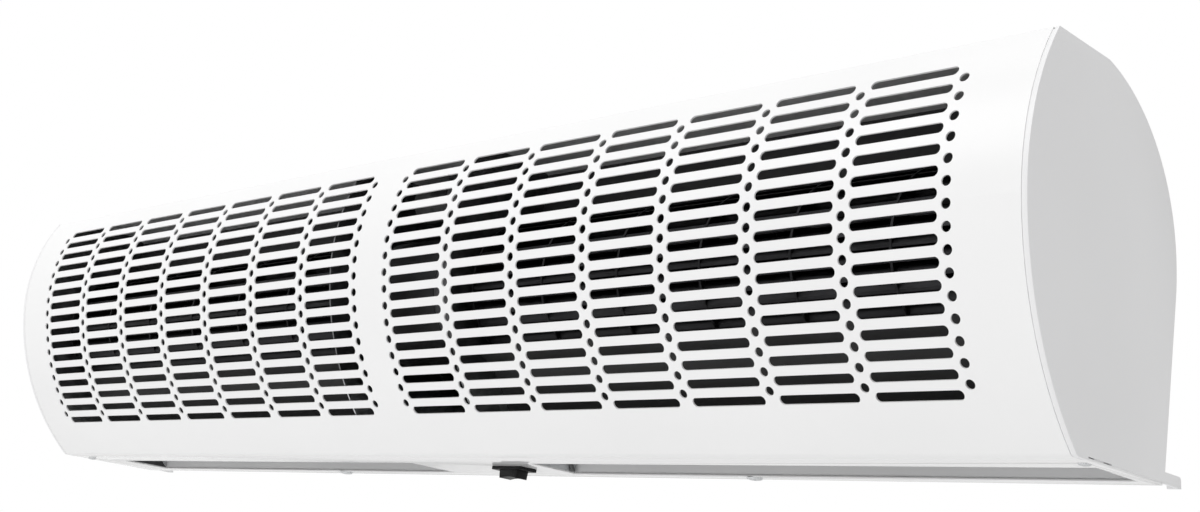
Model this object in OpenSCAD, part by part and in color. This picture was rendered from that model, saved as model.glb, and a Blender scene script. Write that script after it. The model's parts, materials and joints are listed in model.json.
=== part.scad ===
/* [Body outline] */
// Overall length, over both side caps
body_len = 1000; // [999:0.5:1001]
// Height of the body, from the tray's underside to the top
body_h = 201; // [200.5:0.1:201.5]
// Lean of the body away from the wall, in degrees, which aims the outlet outward
tilt = 10; // [9.5:0.1:10.5]
// Radius of the upper arc of the front
upper_r = 134; // [133.8:0.1:134.2]
// Centre of that arc: depth behind the foremost point, height above the underside
upper_c = [134, 133.1]; // [133:0.1:135]
// Radius of the scroll arc behind
scroll_r = 105; // [104.8:0.1:105.2]
// Centre of the scroll arc: depth, height
scroll_c = [47, 98]; // [46.5:0.5:98.5]

/* [Sheets] */
// Thickness of the front cover and the rear shell
sheet = 1; // [0.9:0.05:1.1]
// Thickness of the bottom tray and the bulkheads
tray_sheet = 1.2; // [1.1:0.05:1.2]
// Thickness of the scroll guides and the tongue plates
duct_sheet = 1.3; // [1.2:0.05:1.4]
// Width of the side caps' rim
rim_w = 3; // [2.8:0.1:3.4]
// Thickness of a side cap's plate
cap_plate = 2; // [1.8:0.1:2.2]

/* [Grille] */
// Pitch of the slot columns
col_pitch = 62.7; // [62.5:0.1:62.9]
// Pitch of the slot rows along the curve
row_pitch = 11.22; // [11.1:0.01:11.3]
// Slot length
slot_len = 52.7; // [50:0.1:53]
// Slot width
slot_w = 5.7; // [5:0.1:6]
// Diameter of the round holes between the slots
dot_d = 5.5; // [4.5:0.1:5.8]
// Slot rows
slot_rows = 16; // [8:2:16]
// Slot columns in each of the two sections
slot_cols = 7; // [3:1:7]
// Width between the two sections' nearest hole columns
section_gap = 33.6; // [32:0.1:40]

/* [Outlets and ducts] */
// Left outlet, from and to along the length
outlet_left = [-455, -47]; // [-456:1:-45]
// Right outlet, from and to along the length
outlet_right = [79, 492]; // [77:1:492]
// Outlet depth range behind the foremost point
outlet_d = [97, 139.5]; // [96.5:0.1:139.6]
// Rotor axis: depth, height
rotor_c = [66, 108]; // [65.5:0.5:108.5]
// Impeller radius
rotor_r = 46; // [45:0.5:46]
// Impeller length
rotor_len = 390; // [384:6:390]
// Blades round each impeller
blades = 36; // [24:1:36]
// Centre of the motor along the length
motor_x = 16; // [15.5:0.5:16.5]

/* [Switch] */
// Centre of the switch: along the length, depth
switch_at = [44.5, 115]; // [30:0.5:118]
// Switch flange: length, depth, thickness
switch_flange = [30.5, 15.5, 2.2]; // [2:0.1:31]
// Rocker: length, depth, height below the flange
rocker_size = [18, 10.5, 6]; // [5:0.5:18]

/* [Wall brackets] */
// Distance of each bracket from mid-length
bracket_x = 330; // [300:1:360]
// Vertical distance between a bracket's two screw holes
bracket_hole_pitch = 36; // [34:1:40]
// Radius of the wall screw holes
wall_hole_r = 3.25; // [2.5:0.05:3.25]
// Height of the bracket's hook above the line where the body touches the wall
hook_rise = 65; // [64:0.5:66]

/* [Hidden] */
$fn = 96;

// Place of the body against the wall: its scroll arc touches the wall plane, y = 0
body_y = -(scroll_c[0] * cos(tilt) + scroll_c[1] * sin(tilt) + scroll_r);
body_z = -hook_rise + scroll_c[0] * sin(tilt) - scroll_c[1] * cos(tilt);
half_len = body_len / 2;
body_depth = scroll_c[0] + scroll_r;
far = 300;                                  // reach of cutting shapes past the body

// The front's two arcs meet on a line that runs 195 back for every 28 up
join_v = [195, 28];
join_step = 0.26;                           // centre distance as a share of join_v
lower_c = upper_c + join_step * join_v;
lower_r = upper_r + join_step * 197;        // 195, 28 and 197 are a right triangle
join_a = atan(join_v[1] / join_v[0]);
join_lap = 4;
mid_row_t = 101.5;                          // height of the grille's middle row
mid_a = asin((lower_c[1] - mid_row_t) / lower_r);
join_s = lower_r * (mid_a - join_a) * PI / 180;

corner_r = 5;                               // radius of the lower front corner
corner_steps = 4;
corner_c = [lower_c[0] - sqrt(pow(lower_r - corner_r, 2) - pow(lower_c[1] - corner_r, 2)), corner_r];
corner_a0 = asin((lower_c[1] - corner_r) / (lower_r - corner_r));
corner_da = (90 - corner_a0) / corner_steps;
top_corner_d = upper_c[0] - sqrt(pow(upper_r, 2) - pow(body_h - upper_c[1], 2));

joint_gap = 0.3;                            // between sheets that meet edge to edge
cover_end = half_len - rim_w - joint_gap;
cover_flange_top = 34;                      // depth to which the cover is turned over
cover_flange_low = 74;                      // depth to which it is turned under
tray_front = cover_flange_low + joint_gap;
tray_end = half_len - 0.5;
tray_flange_h = 14;
tray_lap = 8;                               // the tray's front lip lies this far on the cover
front_lap_d = 20;                           // the shell starts at this depth under the cover
shell_front_t = 150;                        // above this height it reaches so far forward
shell_back_d = 112;                         // below that height it lies behind this depth
hook_slot = [44, 60, 15];                   // cut for a hook: length, reach from the wall, height
hook_slot_y = 6;                            // the cut starts this far from the wall
punch = 6;                                  // length of the cutting shapes of the grille
drill = 12;                                 // length of those of other holes and cut-outs

cap_gap = 0.6;                              // shadow gap between a cap and the tray
cap_gap_d = 97;                             // depth at which that gap ends
lip_sheet = 1.5;
lip_len = 12;                               // a cap's lip reaches this far past its rim
lip_front_t = [20, 185];                    // heights between which the front lip runs
lip_back_t = [20, 95];
relief = [6, 2.2];                          // notch in the rim at the top corner: depth, height
ear_root_d = 140;
ear_h = 6;
ear_round = 2.5;
ear_foot = 5;                               // the ear's edge is turned inward by this much
ear_foot_t = 2;
tab = [11, 9, 2];                           // a cap's tab on the tray: length, depth, thickness

// The scroll guide is an arc with a straight wall that leaves it at 36 in 323
guide_c = [64.3, 93.6];
guide_r = 65;
guide_v = [323, 36] / 325;
guide_start = 76;                           // angle at which the arc starts, above the depth axis
guide_wall_d = guide_c[0] + guide_r * cos(guide_start);
guide_foot_d = guide_c[0] + guide_r * guide_v[0]
  + (guide_c[1] + guide_r * guide_v[1] - tray_sheet) * guide_v[1] / guide_v[0];
bulkhead_foot = [60, 4];                    // a bulkhead stands on the tray: depth, height
flange_play = 0.2;                          // between a bulkhead and the tray's rear flange
foot_end_d = 148;                           // the guides' feet reach back to this depth
top_flange = 15;                            // the guides' upper flange, along the shell's top
tip_gap = 4;                                // tongue tip to impeller
tongue_a = [-125, -105];                    // the tongue's rolled tip spans these angles
tongue_foot_d = 82;                         // the tongues' feet start at this depth

disc_t = 1.5;
impeller_gap = 8;                           // from the motor bulkheads to the impellers
shaft_r = 4;
run_gap = 0.03;                             // radial clearance of the shaft in its bearings
imp_in = [outlet_left[1] - impeller_gap, outlet_right[0] + impeller_gap];
imp_out = [imp_in[0] - rotor_len, imp_in[1] + rotor_len];
blade_r = 12;                               // mean radius of a blade's curve
blade_t = 1;
blade_in = 34;
hub_r = 11;
hub_len = 18;
hub_flange = [2, 6];                        // a hub's flange: thickness, width
stub_flange = [3, 5];                       // a stub shaft's flange
spigot = 2;                                 // width of its spigot in the impeller's disc
boot_r = 18;
boot_hole_r = 15;
boot_out = 5;
boot_back = 4;
bush_r = 8;
bush_len = [5.5, 4.5];                      // bush length on each side of its plate

stator_len = 60;
stator_r = 44;
core_r = 25;
air_gap = 0.4;
shield_len = 15;
shield_wall = 3;
nose_len = 9;
nose_r = 14;
vents = 8;                                  // cooling holes round each end shield
vent_at = 32;
vent_r = 4.5;
ring_r = 24;
bearing_r = 11;
bearing_w = 7;
bearing_z = 8;                              // a bearing's near face, from the stator's end
cradle_x = stator_len / 2 + shield_len + 2; // from the motor's middle to each arm's near face
cradle_arm = 2.5;
cradle_base = 2;
cradle_foot_t = [42, 94];                   // heights between which its base lies on the shell
cradle_neck = [[4, -30], [18, 26]];         // where an arm's edges start, from the rotor axis
seat_w = 7;                                 // width of an arm round the rubber ring
strap_t = 2;
strap_x = [-1.5, 5];                        // a strap's edges, from the arm's near face
capacitor_at = [52, 176];
capacitor_r = 13;
capacitor_len = 54;
lug = [7, 1.2, 4];                          // its lugs: length, radius, distance from the middle
clip_sheet = 1.2;
clip_w = 16;
clip_mouth = 10;
clip_foot = 14;

block_at = [38, 146];                       // terminal block: depth, height
block_poles = 5;
block_pitch = 11;
block_edge = 2;
block_end = block_at[0] + block_poles * block_pitch + block_edge;
block_base = [8, 22];                       // its base: thickness, height
pole = [10, 9, 16];                         // one pole
pole_screw_r = 2.2;
pole_screw_t = [7, 15];

switch_box = [28, 13];                      // switch body: length, depth
switch_play = 0.2;                          // round the switch body in the tray
switch_top = 18;
switch_round = 1.5;
clip_rise = 1.4;                            // the snap-in clips stand this far off the body
clip_run = 8;
blade_top = 26;
rocker_pivot_t = 1.5;
pin_r = 1.2;
well = [20.6, 11.1];
well_top = 9;

loom_at = [112, 156];                       // run of the loom behind the scroll guides
loom_r = 3;
loom_hole_r = 6.5;
loom_start_x = outlet_left[0] - 10;
loom_down = [128, 122, 60, 36];             // its run down to the switch: depth, three heights
loom_slant = 8;
branch_x = 6;
branch_in = 31.5;                           // the branch's end, behind and above the rotor axis
branch_r = 2;
screw_hole_r = 2.1;
entry_at = [-470.5, 60];                    // cable entry: along the length, height
entry_r = 5;
entry_wall = 3;                             // the grommet's wall where it passes the shell
entry_rim = 5;                              // width and thickness of its two rims
entry_lip = 2;
clamp_at = [96, 60];                        // cable clamp: depth, height
clamp_base = [5, 40, 14];
saddle = [10, 20];                          // its saddle: length, depth

bracket_sheet = 2.5;
leaf = [60, 62];                            // a bracket's leaf: length, height
leaf_round = 6;
hook = [40, 46, 12];                        // its hook: length, reach, height of the tip
hook_round = 4;

cover_screw_x = [-480, -320, -160, 0, 160, 320, 480];
cover_screw_d = 27;
shell_screw_t = [30, 80];
plate_flange = 10;
plate_flange_t = [20, 90];
shell_screw_x = [outlet_left[0] + plate_flange / 2, outlet_left[1] - plate_flange / 2,
  outlet_right[0] + plate_flange / 2];
cap_screw_x = half_len - rim_w - 8.5;
tray_screw_x = [-187, 235];
tray_screw_d = 144;
corner_screw = [half_len - 8.5, 86];        // along the length, depth
corner_screw_r = 1.5;
corner_clear = 1;                           // room round a cap's tab

// ---------- placing ----------

// From the body's own frame (length, depth, height) to the wall's
module in_body() translate([0, body_y, body_z]) rotate([-tilt, 0, 0]) children();

// A drawing in depth and height, drawn out along the length
module along_x(x0, x1) translate([x0, 0, 0]) rotate([90, 0, 90]) linear_extrude(x1 - x0) children();

// A turned shape whose axis is the rotor's
module on_rotor(x0) translate([x0, rotor_c[0], rotor_c[1]]) rotate([0, 90, 0]) children();

// A place on the front, s along the curve from the middle row; z points outward
module at_front(s) {
  up = s > join_s;
  c = up ? upper_c : lower_c;
  r = up ? upper_r : lower_r;
  a = up ? (s - join_s) / r * 180 / PI - join_a : s / r * 180 / PI - mid_a;
  translate([0, c[0], c[1]]) rotate([-a, 0, 0]) translate([0, -r, 0]) rotate([90, 0, 0]) children();
}

// Depth of the wall plane at a height in the body's frame
function wall_d(t) = (-body_y - t * sin(tilt)) / cos(tilt);
function toward(a) = [-cos(a), -sin(a)];

// ---------- outlines, in depth and height ----------

module front_2d(inset) {
  intersection() {
    translate(upper_c) circle(r = upper_r - inset);
    translate(upper_c) polygon([-join_v - [0, join_lap], join_v - [0, join_lap],
      join_v + [0, far], -join_v + [0, far]]);
  }
  intersection() {
    translate(lower_c) circle(r = lower_r - inset);
    translate(upper_c) polygon([-join_v, join_v, join_v - [0, far], -join_v - [0, far]]);
  }
}

module rear_2d(inset) {
  translate(scroll_c) circle(r = scroll_r - inset);
  translate([-far, -far]) square([far + scroll_c[0], 2 * far]);
  translate([-far, -far]) square([far + body_depth - inset, far + scroll_c[1]]);
}

// Everything but the outside of the rounded lower front corner
module corner_2d(inset) {
  r = corner_r - inset;
  a_first = corner_a0 + corner_da / 2;
  a_last = 90 - corner_da / 2;
  first = corner_c + r * toward(a_first) + 60 * [-sin(a_first), cos(a_first)];
  last = corner_c + r * toward(a_last) + 60 * [sin(a_last), -cos(a_last)];
  polygon(concat([first],
    [for (k = [1:corner_steps - 1])
      corner_c + r / cos(corner_da / 2) * toward(corner_a0 + k * corner_da)],
    [last, [far, last[1]], [far, far], [-far, far], [-far, first[1]]]));
}

module body_2d(inset) intersection() {
  front_2d(inset);
  rear_2d(inset);
  translate([-far, inset]) square([2 * far, body_h - 2 * inset]);
  corner_2d(inset);
}

module ring_2d(outer, inner) difference() {
  body_2d(outer);
  body_2d(inner);
}

// Where the front cover lies, with the two edges that are turned inward
module front_zone() polygon([[-far, -far], [cover_flange_low, -far], [cover_flange_low, body_h / 2],
  [cover_flange_top, body_h / 2], [cover_flange_top, far], [-far, far]]);

// Where the rear shell lies: the top behind the cover's edge, the scroll and the flat back
module rear_zone() polygon([[front_lap_d, far], [front_lap_d, shell_front_t], [shell_back_d, shell_front_t],
  [shell_back_d, tray_flange_h], [body_depth - 2 * sheet, tray_flange_h],
  [body_depth - 2 * sheet, tray_sheet], [far, tray_sheet], [far, far]]);

// Rectangle with rounded corners, round the origin
module rounded_2d(w, h, r) {
  square([w - 2 * r, h], center = true);
  square([w, h - 2 * r], center = true);
  for (x = [-1, 1], y = [-1, 1]) translate([x * (w / 2 - r), y * (h / 2 - r)]) circle(r = r);
}

module screw_hole_t() cylinder(h = drill, r = screw_hole_r, center = true);
module screw_hole_d() rotate([90, 0, 0]) screw_hole_t();

// Room for a cap's tab on the tray, at the right end
module tab_room() translate([corner_screw[0] - tab[0] / 2 - corner_clear, 0, 0])
  translate([0, corner_screw[1] - tab[1] / 2 - corner_clear, 0])
    cube([2 * tab[0], tab[1] + 2 * corner_clear, tray_sheet + tab[2] + 4 * corner_clear]);

// ---------- casing ----------

module slot_2d() {
  flat = slot_len - slot_w;
  square([flat, slot_w], center = true);
  for (side = [-1, 1]) translate([side * flat / 2, 0]) circle(d = slot_w);
}

module perforations() {
  for (i = [0:slot_rows - 1], side = [-1, 1], k = [0:slot_cols - 1])
    at_front((i - (slot_rows - 1) / 2) * row_pitch)
      translate([side * (section_gap / 2 + (k + 0.5) * col_pitch), 0, -punch / 2])
        linear_extrude(punch) slot_2d();
  for (i = [0:slot_rows - 2], side = [-1, 1], k = [0:slot_cols])
    at_front((i - slot_rows / 2 + 1) * row_pitch)
      translate([side * (section_gap / 2 + k * col_pitch), 0, -punch / 2]) cylinder(h = punch, d = dot_d);
}

module front_cover() color("white") in_body() difference() {
  along_x(-cover_end, cover_end) intersection() {
    ring_2d(0, sheet);
    front_zone();
  }
  perforations();
  for (x = cover_screw_x) translate([x, cover_screw_d, body_h]) screw_hole_t();
}

module rear_shell() color("whitesmoke") difference() {
  in_body() difference() {
    along_x(-cover_end, cover_end) intersection() {
      ring_2d(sheet, 2 * sheet);
      rear_zone();
    }
    for (x = cover_screw_x) translate([x, cover_screw_d, body_h]) screw_hole_t();
    for (x = concat(shell_screw_x, [-cap_screw_x, cap_screw_x]), t = shell_screw_t)
      translate([x, body_depth, t]) screw_hole_d();
    translate([entry_at[0], body_depth, entry_at[1]]) rotate([90, 0, 0])
      cylinder(h = drill, r = entry_r + entry_wall, center = true);
  }
  // The slots that drop over the wall brackets' hooks
  for (side = [-1, 1]) translate([side * bracket_x - hook_slot[0] / 2, -hook_slot[1], -hook_slot[2]])
    cube([hook_slot[0], hook_slot[1] - hook_slot_y, hook_slot[2]]);
}

module bottom_tray() color("white") in_body() difference() {
  union() {
    along_x(-tray_end, tray_end)
      translate([tray_front, 0]) square([body_depth - sheet - tray_front, tray_sheet]);
    along_x(-cover_end, cover_end) {
      // Front lip, joggled to lie on the cover's lower flange
      translate([tray_front, 0]) square([tray_sheet, sheet + tray_sheet]);
      translate([tray_front - tray_lap, sheet]) square([tray_lap + tray_sheet, tray_sheet]);
      // Rear flange, turned up inside the shell
      translate([body_depth - 2 * sheet - tray_sheet, 0]) square([tray_sheet, tray_flange_h]);
    }
  }
  for (o = [outlet_left, outlet_right])
    translate([o[0], outlet_d[0], -drill / 2]) cube([o[1] - o[0], outlet_d[1] - outlet_d[0], drill]);
  translate([switch_at[0], switch_at[1], 0])
    cube([switch_box[0] + 2 * switch_play, switch_box[1] + 2 * switch_play, drill], center = true);
  for (x = tray_screw_x) translate([x, tray_screw_d, 0]) screw_hole_t();
  for (side = [-1, 1]) translate([side * corner_screw[0], corner_screw[1], 0])
    cylinder(h = drill, r = corner_screw_r + 0.2, center = true);
}

// The cap at the right end; the left one is its mirror image
module side_cap() {
  gap_t = tray_sheet + cap_gap;
  above_tray = [[-far, -far], [cover_flange_low, -far], [cover_flange_low, gap_t], [cap_gap_d, gap_t],
    [cap_gap_d, tray_sheet], [far, tray_sheet], [far, far], [-far, far]];
  along_x(half_len - cap_plate, half_len) intersection() {
    body_2d(0);
    polygon(above_tray);
  }
  difference() {
    along_x(half_len - rim_w, half_len) intersection() {
      ring_2d(0, lip_sheet);
      polygon(above_tray);
    }
    // Relief where the curved and the level part of the rim meet
    translate([half_len - rim_w - 1, top_corner_d - 1, body_h - relief[1]])
      cube([rim_w - cap_plate + 1, relief[0], 2 * relief[1]]);
  }
  cap_lips();
  cap_ear();
  // Tab that takes the tray's corner screw
  difference() {
    translate([corner_screw[0] - tab[0] / 2, corner_screw[1] - tab[1] / 2, tray_sheet])
      cube([half_len - cap_plate / 2 - corner_screw[0] + tab[0] / 2, tab[1], tab[2]]);
    translate([corner_screw[0], corner_screw[1], 0]) cylinder(h = 9, r = corner_screw_r);
  }
}

// Lips behind the cover's edge and behind the shell's flat back
module cap_lips() difference() {
  along_x(half_len - rim_w - lip_len, half_len) {
    intersection() {
      ring_2d(sheet, sheet + lip_sheet);
      translate([body_depth / 2 - far, lip_front_t[0]]) square([far, lip_front_t[1] - lip_front_t[0]]);
    }
    intersection() {
      ring_2d(2 * sheet, 2 * sheet + lip_sheet);
      translate([body_depth / 2, lip_back_t[0]]) square([far, lip_back_t[1] - lip_back_t[0]]);
    }
  }
  for (t = shell_screw_t) translate([cap_screw_x, body_depth, t]) screw_hole_d();
}

// Ear that meets the wall, with its edge turned inward
module cap_ear() {
  low = tray_sheet;
  high = low + ear_h;
  wall_low = [wall_d(low), low];
  wall_high = [wall_d(high), high];
  foot = ear_foot_t * [cos(tilt), sin(tilt)];
  round_c = [wall_d(high - ear_round) - ear_round / cos(tilt), high - ear_round];
  outline = [[ear_root_d, low], wall_low, [wall_d(round_c[1]), round_c[1]], [round_c[0], high],
    [ear_root_d, high]];
  along_x(half_len - cap_plate, half_len) {
    polygon(outline);
    translate(round_c) circle(r = ear_round);
  }
  along_x(half_len - cap_plate - ear_foot, half_len)
    polygon([wall_low, wall_high - [0, ear_round], wall_high - [0, ear_round] - foot, wall_low - foot]);
}

module side_cap_right() color("lightgray") in_body() side_cap();
module side_cap_left() color("lightgray") in_body() mirror([1, 0, 0]) side_cap();

// ---------- bulkheads ----------

module bulkhead_2d(inset, hole_r) difference() {
  union() {
    intersection() {
      body_2d(inset);
      translate([-5, 2 * tray_sheet]) square([far, far]);
    }
    translate([tongue_foot_d, tray_sheet]) square([bulkhead_foot[0], bulkhead_foot[1]]);
  }
  // Room for the tray's rear flange
  translate([body_depth - 2 * sheet - tray_sheet - flange_play, -far])
    square([far, far + tray_flange_h + 2 * flange_play]);
  translate(rotor_c) circle(r = hole_r);
  translate(loom_at) circle(r = loom_hole_r);
}

// Flange along the shell's flat back, with its screw holes
module back_flange(x0) difference() {
  translate([x0, body_depth - 2 * sheet - tray_sheet, plate_flange_t[0]])
    cube([plate_flange, tray_sheet, plate_flange_t[1] - plate_flange_t[0]]);
  for (t = shell_screw_t) translate([x0 + plate_flange / 2, body_depth, t]) screw_hole_d();
}

module bulkhead_left_end() color("silver") in_body() {
  along_x(outlet_left[0] - tray_sheet, outlet_left[0]) bulkhead_2d(2 * sheet, boot_hole_r);
  back_flange(outlet_left[0]);
}

module bulkhead_motor_left() color("silver") in_body() {
  along_x(outlet_left[1], outlet_left[1] + tray_sheet) bulkhead_2d(2 * sheet, nose_r + 3);
  back_flange(outlet_left[1] - plate_flange);
}

module bulkhead_motor_right() color("silver") in_body() {
  along_x(outlet_right[0] - tray_sheet, outlet_right[0]) bulkhead_2d(2 * sheet, nose_r + 3);
  back_flange(outlet_right[0]);
}

module bulkhead_right_end() color("silver") in_body() difference() {
  along_x(outlet_right[1], outlet_right[1] + tray_sheet) bulkhead_2d(2 * sheet + lip_sheet, boot_hole_r);
  tab_room();
}

// ---------- ducts ----------

// The air side of the scroll guide, grown outward
module guide_2d(grow) translate(guide_c) {
  r = guide_r + grow;
  down = far * [guide_v[1], -guide_v[0]];
  circle(r = r);
  polygon([[0, 0], r * guide_v, r * guide_v + down, down]);
}

module scroll_guide(x0, x1) {
  along_x(x0, x1) intersection() {
    difference() {
      guide_2d(duct_sheet);
      guide_2d(0);
    }
    polygon([guide_c, guide_c + far * [cos(guide_start), sin(guide_start)], [far, far],
      [far, tray_sheet], [guide_c[0] + guide_r / 2, tray_sheet]]);
  }
  // Leading edge carried up to the shell, and its flange
  along_x(x0, x1) intersection() {
    body_2d(2 * sheet);
    translate([guide_wall_d, guide_c[1] + guide_r * sin(guide_start) + 0.2]) square([duct_sheet, far]);
  }
  along_x(x0, x1) intersection() {
    ring_2d(2 * sheet, 2 * sheet + duct_sheet);
    translate([guide_wall_d, guide_c[1] + guide_r]) square([top_flange, far]);
  }
  // Foot on the tray
  along_x(x0, x1) translate([guide_foot_d, tray_sheet]) square([foot_end_d - guide_foot_d, duct_sheet]);
}

module scroll_guide_left() color("gainsboro") in_body() difference() {
  scroll_guide(outlet_left[0], outlet_left[1]);
  for (x = tray_screw_x) translate([x, tray_screw_d, 0]) screw_hole_t();
}

module scroll_guide_right() color("gainsboro") in_body() difference() {
  scroll_guide(outlet_right[0], outlet_right[1]);
  for (x = tray_screw_x) translate([x, tray_screw_d, 0]) screw_hole_t();
}

module tongue_plate(x0, x1) {
  r = rotor_r + tip_gap;
  a = tongue_a[1];
  tip = rotor_c + r * [cos(a), sin(a)];
  base = [outlet_d[0], tray_sheet];
  run = (base - tip) / norm(base - tip);
  side = duct_sheet * [run[1], -run[0]];
  along_x(x0, x1) intersection() {
    translate(rotor_c) difference() {
      circle(r = r + duct_sheet);
      circle(r = r);
    }
    polygon([rotor_c, rotor_c + far * [cos(tongue_a[0]), sin(tongue_a[0])],
      rotor_c + far * [cos(a), sin(a)]]);
  }
  // The straight part, drawn past the tray and cut off level with its top
  along_x(x0, x1) intersection() {
    polygon([tip, base + 4 * run, base + 4 * run + side, tip + side]);
    translate([0, tray_sheet]) square([far, far]);
  }
  along_x(x0, x1) translate([tongue_foot_d, tray_sheet]) square([outlet_d[0] - tongue_foot_d, duct_sheet]);
}

module tongue_plate_left() color("gainsboro") in_body() tongue_plate(outlet_left[0], outlet_left[1]);
module tongue_plate_right() color("gainsboro") in_body() difference() {
  tongue_plate(outlet_right[0], outlet_right[1]);
  tab_room();
}

// ---------- impellers and their drive ----------

module blades_2d() intersection() {
  for (i = [0:blades - 1]) rotate(i * 360 / blades) intersection() {
    translate([blade_in, blade_r]) difference() {
      circle(r = blade_r + blade_t / 2);
      circle(r = blade_r - blade_t / 2);
    }
    translate([blade_in - 0.5, -1]) square([14, blade_r]);
  }
  difference() {
    circle(r = rotor_r - 0.4);
    circle(r = blade_in);
  }
}

// Blades between discs; the first disc is bored for the drive hub, the last for the stub shaft
module impeller() {
  sections = 6;
  section = (rotor_len - disc_t) / sections;
  linear_extrude(rotor_len) blades_2d();
  for (k = [0:sections]) translate([0, 0, k * section]) difference() {
    cylinder(h = disc_t, r = rotor_r);
    translate([0, 0, -1])
      cylinder(h = disc_t + 2, r = k == 0 ? hub_r : k == sections ? shaft_r + spigot : blade_in - 1);
  }
}

module impeller_right() color("dimgray") in_body() on_rotor(imp_in[1]) impeller();
module impeller_left() color("dimgray") in_body() on_rotor(imp_in[0]) mirror([0, 0, 1]) impeller();

// Hub that carries an impeller's inner end on the motor shaft; its flange faces the motor
module drive_hub() difference() {
  union() {
    translate([0, 0, -hub_flange[0]]) cylinder(h = hub_flange[0], r = hub_r + hub_flange[1]);
    cylinder(h = hub_len, r = hub_r);
  }
  translate([0, 0, -hub_flange[0] - 1]) cylinder(h = hub_flange[0] + hub_len + 2, r = shaft_r);
}

module drive_hub_right() color("black") in_body() on_rotor(imp_in[1]) drive_hub();
module drive_hub_left() color("black") in_body() on_rotor(imp_in[0]) mirror([0, 0, 1]) drive_hub();

// Stub that runs in the end bush; z points away from the impeller
module stub_shaft(pin_len) {
  cylinder(h = stub_flange[0], r = hub_r + stub_flange[1]);
  cylinder(h = pin_len, r = shaft_r);
  translate([0, 0, -disc_t]) cylinder(h = disc_t, r = shaft_r + spigot);
}

module stub_shaft_right() color("silver") in_body()
  on_rotor(imp_out[1]) stub_shaft(outlet_right[1] + bush_len[1] - 0.5 - imp_out[1]);
module stub_shaft_left() color("silver") in_body()
  on_rotor(imp_out[0]) mirror([0, 0, 1]) stub_shaft(imp_out[0] - outlet_left[0] + bush_len[1] - 0.5);

// Bush and boot sit in a plate whose air side is at z = 0; z points out of the duct
module bush() difference() {
  translate([0, 0, -bush_len[0]]) cylinder(h = bush_len[0] + bush_len[1], r = bush_r);
  translate([0, 0, -10]) cylinder(h = 20, r = shaft_r + run_gap);
}

module bush_boot() difference() {
  union() {
    translate([0, 0, -boot_out]) cylinder(h = boot_out, r = boot_r);
    cylinder(h = tray_sheet, r = boot_hole_r);
    translate([0, 0, tray_sheet]) cylinder(h = boot_back - tray_sheet, r = boot_r);
  }
  translate([0, 0, -10]) cylinder(h = 20, r = bush_r);
}

module bush_right() color("goldenrod") in_body() on_rotor(outlet_right[1]) bush();
module bush_left() color("goldenrod") in_body() on_rotor(outlet_left[0]) mirror([0, 0, 1]) bush();
module bush_boot_right() color("black") in_body() on_rotor(outlet_right[1]) bush_boot();
module bush_boot_left() color("black") in_body() on_rotor(outlet_left[0]) mirror([0, 0, 1]) bush_boot();

// ---------- motor ----------

module motor_stator() color("darkgray") in_body() on_rotor(motor_x - stator_len / 2) difference() {
  cylinder(h = stator_len, r = stator_r);
  translate([0, 0, -1]) cylinder(h = stator_len + 2, r = core_r + air_gap);
}

// End shield with its bearing seat and nose; z points away from the stator
module end_shield() difference() {
  union() {
    cylinder(h = shield_len, r = stator_r);
    cylinder(h = shield_len + nose_len, r = nose_r);
  }
  difference() {
    translate([0, 0, -1]) cylinder(h = shield_len + 1 - shield_wall, r = stator_r - shield_wall);
    cylinder(h = shield_len, r = nose_r);
  }
  translate([0, 0, -1]) cylinder(h = bearing_z + 1 + bearing_w, r = bearing_r);
  cylinder(h = far, r = shaft_r + 1);
  for (k = [0:vents - 1]) rotate(k * 360 / vents) translate([vent_at, 0, shield_len - shield_wall - 1])
    cylinder(h = shield_wall + 2, r = vent_r);
}

module motor_bearing() translate([0, 0, bearing_z]) difference() {
  cylinder(h = bearing_w, r = bearing_r);
  translate([0, 0, -1]) cylinder(h = bearing_w + 2, r = shaft_r + run_gap);
}

module rubber_ring() translate([0, 0, shield_len]) difference() {
  cylinder(h = nose_len - 1, r = ring_r);
  translate([0, 0, -1]) cylinder(h = nose_len + 1, r = nose_r);
}

module at_shield(side) on_rotor(motor_x + side * stator_len / 2) mirror([0, 0, side < 0 ? 1 : 0]) children();

module motor_end_right() color("silver") in_body() at_shield(1) end_shield();
module motor_end_left() color("silver") in_body() at_shield(-1) end_shield();
module motor_bearing_right() color("lightsteelblue") in_body() at_shield(1) motor_bearing();
module motor_bearing_left() color("lightsteelblue") in_body() at_shield(-1) motor_bearing();
module rubber_ring_right() color("black") in_body() at_shield(1) rubber_ring();
module rubber_ring_left() color("black") in_body() at_shield(-1) rubber_ring();

module motor_rotor() color("slategray") in_body() on_rotor(motor_x - stator_len / 2 + 2) difference() {
  cylinder(h = stator_len - 4, r = core_r);
  translate([0, 0, -1]) cylinder(h = stator_len, r = shaft_r);
}

module motor_shaft() color("silver") in_body()
  on_rotor(imp_in[0] - hub_len) cylinder(h = imp_in[1] - imp_in[0] + 2 * hub_len, r = shaft_r);

module cradle_arm_2d() difference() {
  union() {
    intersection() {
      translate(rotor_c) circle(r = ring_r + seat_w);
      translate(rotor_c - [0, far]) square([far, 2 * far]);
    }
    polygon([rotor_c + cradle_neck[0], [body_depth - 2 * sheet, cradle_foot_t[0]],
      [body_depth - 2 * sheet, cradle_foot_t[1]], rotor_c + cradle_neck[1]]);
  }
  translate(rotor_c) circle(r = ring_r);
  translate(rotor_c - [far, far]) square([far, 2 * far]);
}

module motor_cradle() color("silver") in_body() {
  for (side = [0, 1]) mirror_about(motor_x, side) along_x(motor_x + cradle_x, motor_x + cradle_x + cradle_arm)
    cradle_arm_2d();
  translate([motor_x - cradle_x - cradle_arm, body_depth - 2 * sheet - cradle_base, cradle_foot_t[0]])
    cube([2 * (cradle_x + cradle_arm), cradle_base, cradle_foot_t[1] - cradle_foot_t[0]]);
}

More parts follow.
